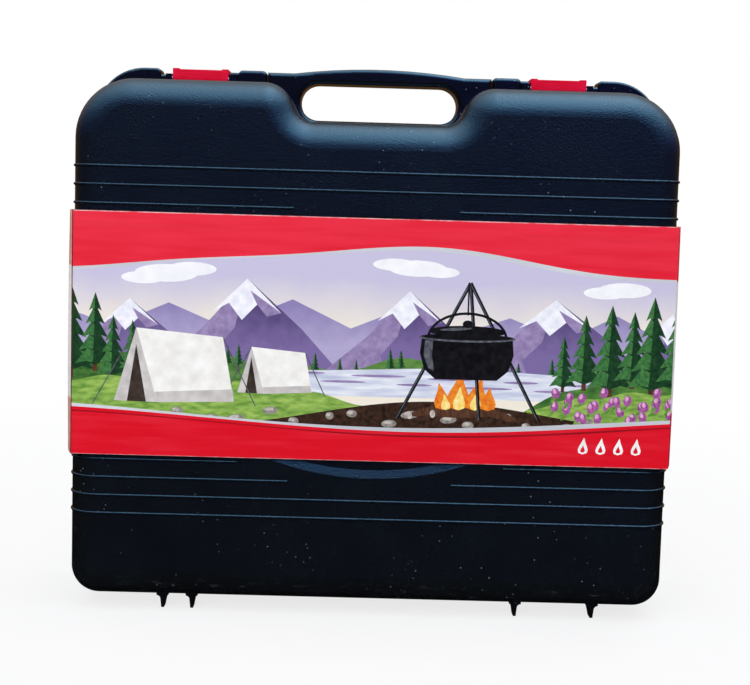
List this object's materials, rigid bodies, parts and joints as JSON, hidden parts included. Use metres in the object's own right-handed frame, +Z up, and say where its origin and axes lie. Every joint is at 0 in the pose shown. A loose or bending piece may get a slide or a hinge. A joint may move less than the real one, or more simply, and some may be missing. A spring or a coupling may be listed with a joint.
{
  "type": "portable gas stove in carry case",
  "caption": "Tabletop cartridge gas stove stowed upright in its black blow-moulded carry case, with snap latches, a moulded handle and a printed card sleeve.",
  "frame": {"origin": "floor point under the middle of the closed case", "axes": "+Z up with the case standing on its hinge lugs, -Y out of the front panel, +X to the right seen from the front"},
  "size_m": [0.3786, 0.1086, 0.3434],
  "materials": {
    "case_plastic": "fine moulded grain",
    "latch_plastic": "glossy red",
    "pin_steel": "bright wire",
    "sleeve_card": "printed coated card",
    "black_enamel": "satin black paint",
    "zinc_sheet": "zinc plated sheet",
    "cast_alloy": "cast aluminium",
    "brass": "turned brass",
    "black_rubber": "matt rubber",
    "knob_plastic": "satin black moulding",
    "white_ceramic": "glazed insulator",
    "lead_sheath": "silicone sheath"
  },
  "bodies": {
    "base": {"case_base": "case_plastic", "hinge_pins": "pin_steel", "stove_chassis": "black_enamel", "stove_feet": "black_rubber", "top_plate": "black_enamel", "drip_pan": "black_enamel", "pan_support": "black_enamel", "burner_cup": "cast_alloy", "burner_head": "cast_alloy", "burner_stand": "zinc_sheet", "burner_screws": "pin_steel", "jet": "brass", "jet_bracket": "zinc_sheet", "gas_pipe": "brass", "regulator": "cast_alloy", "regulator_cap": "zinc_sheet", "nozzle_seal": "black_rubber", "dial_plate": "knob_plastic", "dial_screws": "pin_steel", "cartridge_cradle": "zinc_sheet", "heat_shield": "zinc_sheet", "cover_hinge_pins": "pin_steel", "igniter_body": "knob_plastic", "ignition_lead": "lead_sheath", "electrode_insulator": "white_ceramic", "electrode_wire": "pin_steel"},
    "lid": {"case_lid": "case_plastic", "latch_pins": "pin_steel"},
    "left_latch": {"latch_left": "latch_plastic"},
    "right_latch": {"latch_right": "latch_plastic"},
    "front_sleeve": {"sleeve_front": "sleeve_card"},
    "back_sleeve": {"sleeve_back": "sleeve_card"},
    "knob": {"control_knob": "knob_plastic", "valve_spindle": "brass"},
    "lever": {"lock_lever": "knob_plastic"},
    "slide": {"cartridge_slide": "zinc_sheet"},
    "plunger": {"igniter_plunger": "brass"},
    "cover": {"cartridge_cover": "black_enamel"}
  },
  "joints": [
    {"name": "case_hinge", "type": "hinge", "parent": "base", "child": "lid", "pos_m": [0, 0, 0.0035], "axis": [1, 0, 0], "range_deg": [0, 180]},
    {"name": "left_latch_flip", "type": "hinge", "parent": "lid", "child": "left_latch", "pos_m": [-0.1135, -0.0115, 0.3344], "axis": [1, 0, 0], "range_deg": [0, 90]},
    {"name": "right_latch_flip", "type": "hinge", "parent": "lid", "child": "right_latch", "pos_m": [0.1135, -0.0115, 0.3344], "axis": [1, 0, 0], "range_deg": [0, 90]},
    {"name": "sleeve_slide", "type": "slide", "parent": "lid", "child": "front_sleeve", "axis": [0, 0, 1], "range_m": [0, 0.25]},
    {"name": "sleeve_back_slide", "type": "slide", "parent": "base", "child": "back_sleeve", "axis": [0, 0, 1], "range_m": [0, 0.25]},
    {"name": "knob_turn", "type": "hinge", "parent": "base", "child": "knob", "pos_m": [-0.1275, 0.0077, 0.28], "axis": [0, 0, 1], "range_deg": [0, 100]},
    {"name": "igniter_push", "type": "slide", "parent": "base", "child": "plunger", "axis": [-1, 0, 0], "range_m": [0, 0.004]},
    {"name": "lever_slide", "type": "slide", "parent": "base", "child": "lever", "axis": [0, 1, 0], "range_m": [0, 0.014]},
    {"name": "cartridge_draw", "type": "slide", "parent": "base", "child": "slide", "axis": [0, 0, 1], "range_m": [0, 0.008]},
    {"name": "cover_hinge", "type": "hinge", "parent": "base", "child": "cover", "pos_m": [-0.1699, -0.0173, 0.15], "axis": [0, 0, -1], "range_deg": [0, 90]}
  ],
  "couplings": [
    {"joint": "sleeve_back_slide", "follows": "sleeve_slide", "ratio": 1},
    {"joint": "igniter_push", "follows": "knob_turn", "m_per_rad": 0.0022918},
    {"joint": "cartridge_draw", "follows": "lever_slide", "ratio": 0.57143},
    {"joint": "cover_hinge", "follows": "case_hinge", "ratio": 0.5}
  ]
}
